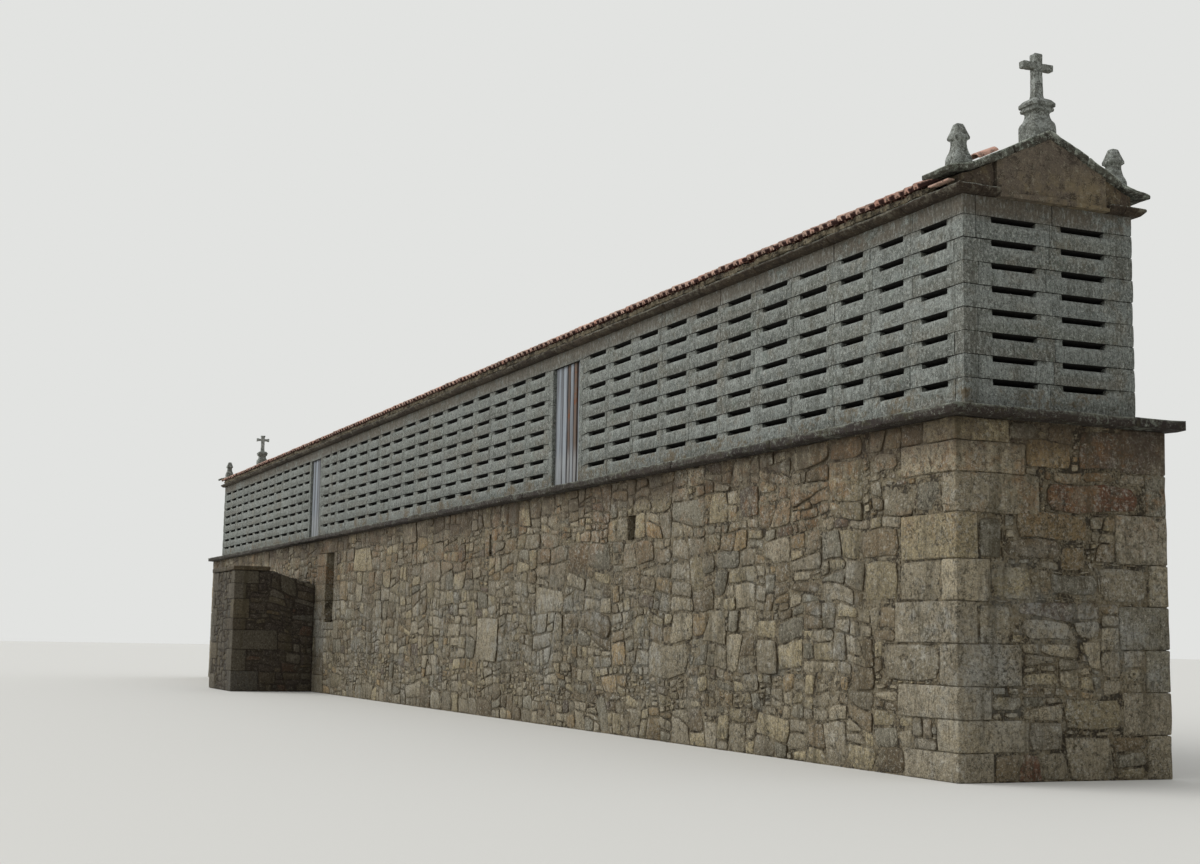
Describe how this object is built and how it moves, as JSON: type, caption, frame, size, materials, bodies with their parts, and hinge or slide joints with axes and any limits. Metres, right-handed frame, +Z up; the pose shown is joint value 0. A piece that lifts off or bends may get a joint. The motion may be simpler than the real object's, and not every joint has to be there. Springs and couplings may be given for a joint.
{
  "type": "long raised stone granary",
  "caption": "Long narrow granite granary with slotted walls, two upper plank doors, tiled roof and gable crosses, raised on a tall hollow rubble base with a landing.",
  "frame": {"origin": "on the underside of the front base wall, halfway along the building and in the middle of the wall's thickness", "axes": "+X along the building towards the east gable, +Z up, the front with the doors faces -Y"},
  "size_m": [37.74, 4.528, 7.2151],
  "materials": {
    "granite_ashlar": "weathered grey granite with lichen",
    "rubble": "ochre and grey rubble with earth joints",
    "slab_granite": "dark granite slabs with lichen and moss",
    "ochre_granite": "ochre granite",
    "finial_granite": "pale lichen covered granite",
    "clay_tile": "weathered clay roof tile",
    "plank_wood": "silvered bare planks"
  },
  "bodies": {
    "root": {"back_top_course": "granite_ashlar", "back_wall_east": "granite_ashlar", "back_wall_west": "granite_ashlar", "base_back_wall": "rubble", "base_east_wall": "rubble", "base_front_wall_east": "rubble", "base_front_wall_west": "rubble", "base_west_wall": "rubble", "base_window_breast": "rubble", "base_window_lintel": "rubble", "chamber_floor": "slab_granite", "cornice_back": "slab_granite", "cornice_ends": "slab_granite", "cornice_front": "slab_granite", "east_coping_back": "slab_granite", "east_coping_front": "slab_granite", "east_cross": "finial_granite", "east_cross_pedestal": "finial_granite", "east_door": "plank_wood", "east_door_jambs": "granite_ashlar", "east_end_wall": "granite_ashlar", "east_pinnacles": "finial_granite", "east_tympanum": "ochre_granite", "front_top_course": "granite_ashlar", "front_wall_east": "granite_ashlar", "front_wall_middle": "granite_ashlar", "front_wall_west": "granite_ashlar", "landing_block": "rubble", "landing_cap_slab": "rubble", "ledge_back": "slab_granite", "ledge_ends": "slab_granite", "ledge_front": "slab_granite", "roof_back": "clay_tile", "roof_front": "clay_tile", "roof_ridge": "clay_tile", "west_coping_back": "slab_granite", "west_coping_front": "slab_granite", "west_cross": "finial_granite", "west_cross_pedestal": "finial_granite", "west_door": "plank_wood", "west_door_jambs": "granite_ashlar", "west_end_wall": "granite_ashlar", "west_pinnacles": "finial_granite", "west_tympanum": "ochre_granite"}
  },
  "joints": []
}
